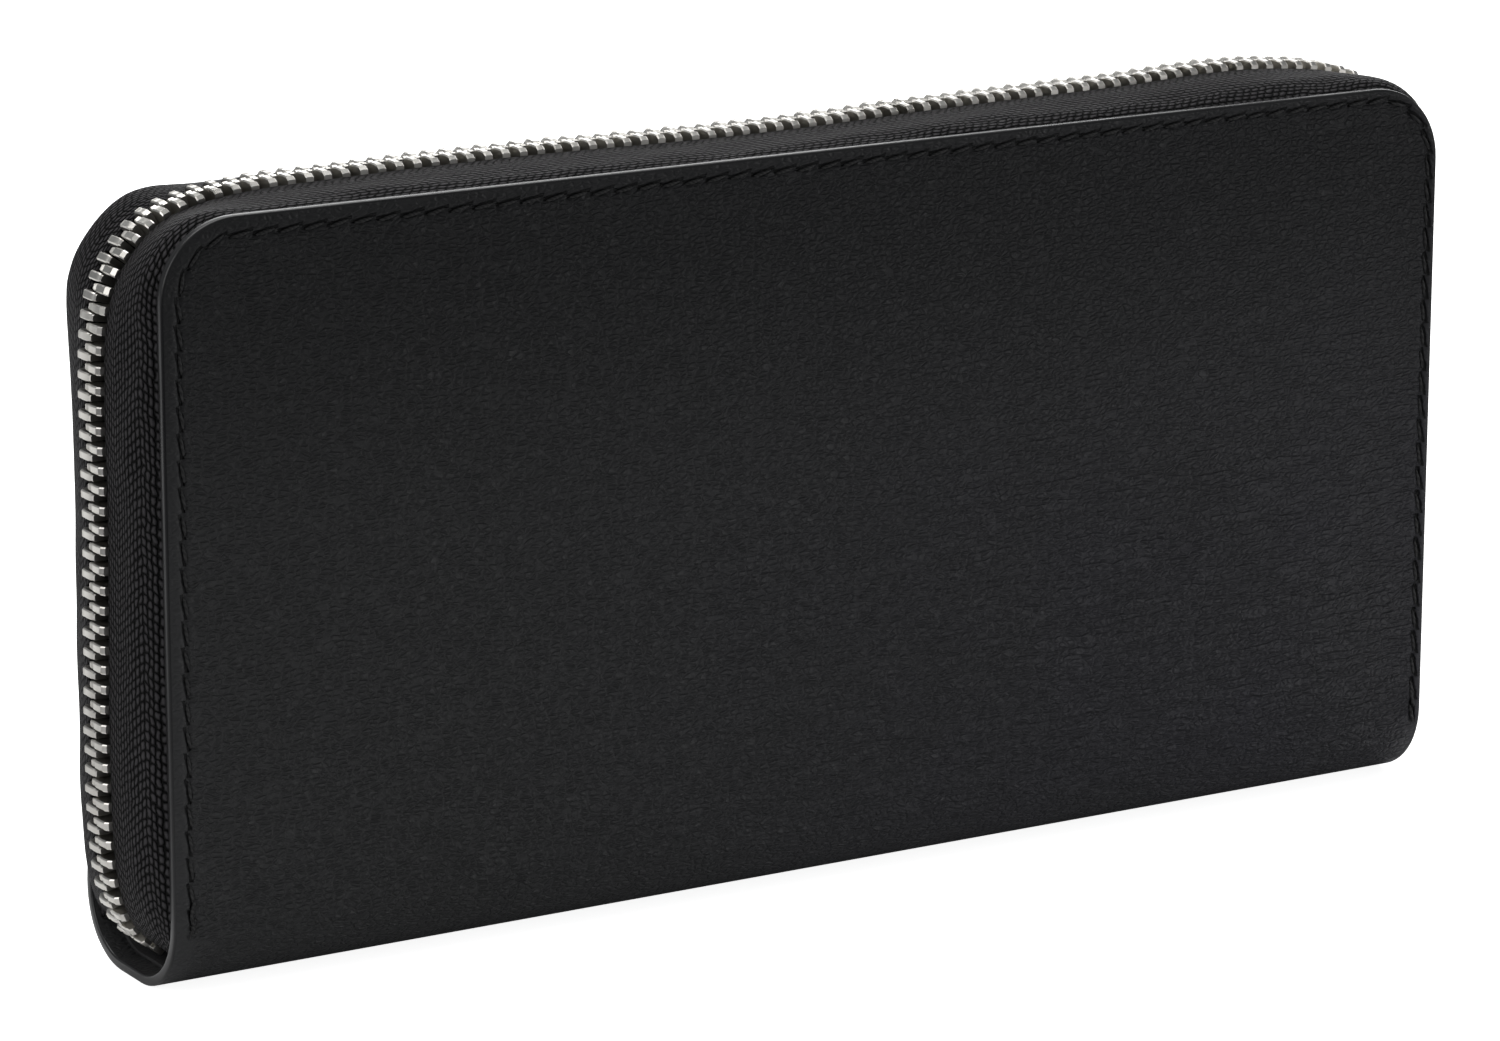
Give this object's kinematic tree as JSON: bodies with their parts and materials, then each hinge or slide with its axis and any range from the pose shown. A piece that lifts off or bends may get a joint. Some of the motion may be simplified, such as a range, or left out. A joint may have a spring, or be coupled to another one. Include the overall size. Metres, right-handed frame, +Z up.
{
  "type": "long wallet",
  "caption": "Zip-around long wallet standing on its folded spine: two leather covers that open on the spine, card slots, note compartments and a zipped coin pocket.",
  "frame": {"origin": "centre of the flat base of the spine, where the closed wallet stands", "axes": "+X along the wallet's length, from the end where the zip starts to the end where its slider rests; +Y from the front cover to the back cover; +Z up from the spine to the zipped top edge"},
  "size_m": [0.2046, 0.027, 0.1026],
  "materials": {
    "cover_leather": "satin, fine natural grain",
    "inner_leather": "satin, smooth grain",
    "lining_leather": "matt",
    "thread": "waxed thread",
    "board": "plain",
    "zip_tape": "woven",
    "zip_metal": "bright nickel silver"
  },
  "bodies": {
    "core": {"spine_leather": "cover_leather", "spine_lining": "lining_leather", "coin_base": "lining_leather", "coin_wall_front": "inner_leather", "coin_wall_back": "inner_leather", "coin_end_left": "lining_leather", "coin_end_right": "lining_leather", "coin_tape_front": "zip_tape", "coin_tape_back": "zip_tape", "coin_teeth_front": "zip_metal", "coin_teeth_back": "zip_metal", "coin_zip_stops": "zip_metal", "zip_bottom_stop": "zip_metal", "front_zip_stop": "zip_metal", "back_zip_stop": "zip_metal"},
    "front_half": {"front_cover": "cover_leather", "front_stitching": "thread", "front_board": "board", "front_lining": "lining_leather", "front_zip_tape": "zip_tape", "front_zip_teeth": "zip_metal", "front_card_panel": "inner_leather", "front_slot_left_1": "inner_leather", "front_slot_left_2": "inner_leather", "front_slot_left_3": "inner_leather", "front_slot_left_4": "inner_leather", "front_slot_right_1": "inner_leather", "front_slot_right_2": "inner_leather", "front_slot_right_3": "inner_leather", "front_slot_right_4": "inner_leather", "front_gusset_left": "lining_leather", "front_gusset_right": "lining_leather"},
    "back_half": {"back_cover": "cover_leather", "back_stitching": "thread", "back_board": "board", "back_lining": "lining_leather", "back_zip_tape": "zip_tape", "back_zip_teeth": "zip_metal", "back_card_panel": "inner_leather", "back_slot_left_1": "inner_leather", "back_slot_left_2": "inner_leather", "back_slot_left_3": "inner_leather", "back_slot_left_4": "inner_leather", "back_slot_right_1": "inner_leather", "back_slot_right_2": "inner_leather", "back_slot_right_3": "inner_leather", "back_slot_right_4": "inner_leather", "back_gusset_left": "lining_leather", "back_gusset_right": "lining_leather"},
    "zip_slider": {"zip_slider": "zip_metal"},
    "zip_pull_link": {"zip_pull_link": "zip_metal"},
    "zip_pull_tab": {"zip_pull_tab": "zip_metal"},
    "coin_slider": {"coin_slider": "zip_metal"},
    "coin_pull": {"coin_pull": "zip_metal"}
  },
  "joints": [
    {"name": "front_cover_open", "type": "hinge", "parent": "core", "child": "front_half", "pos_m": [0, -0.0128, 0.0105], "axis": [1, 0, 0], "range_deg": [0, 30], "deforming": ["front_zip_tape", "front_zip_teeth", "front_gusset_left", "front_gusset_right"]},
    {"name": "back_cover_open", "type": "hinge", "parent": "core", "child": "back_half", "pos_m": [0, 0.0128, 0.0105], "axis": [-1, 0, 0], "range_deg": [0, 30], "deforming": ["back_zip_tape", "back_zip_teeth", "back_gusset_left", "back_gusset_right"]},
    {"name": "zip_slide", "type": "slide", "parent": "back_half", "child": "zip_slider", "axis": [0, 0, 1], "range_m": [0, 0.05]},
    {"name": "zip_pull_swing", "type": "hinge", "parent": "zip_slider", "child": "zip_pull_link", "pos_m": [0.10145, 0, 0.024], "axis": [0, -1, 0], "range_deg": [0, 150]},
    {"name": "zip_tab_swing", "type": "hinge", "parent": "zip_pull_link", "child": "zip_pull_tab", "pos_m": [0.10145, 0, 0.017], "axis": [0, -1, 0], "range_deg": [0, 100]},
    {"name": "coin_zip_slide", "type": "slide", "parent": "core", "child": "coin_slider", "axis": [-1, 0, 0], "range_m": [0, 0.135], "deforming": ["coin_tape_front", "coin_tape_back", "coin_teeth_front", "coin_teeth_back"]},
    {"name": "coin_pull_swing", "type": "hinge", "parent": "coin_slider", "child": "coin_pull", "pos_m": [0.0795, 0, 0.08485], "axis": [0, -1, 0], "range_deg": [0, 150]}
  ]
}
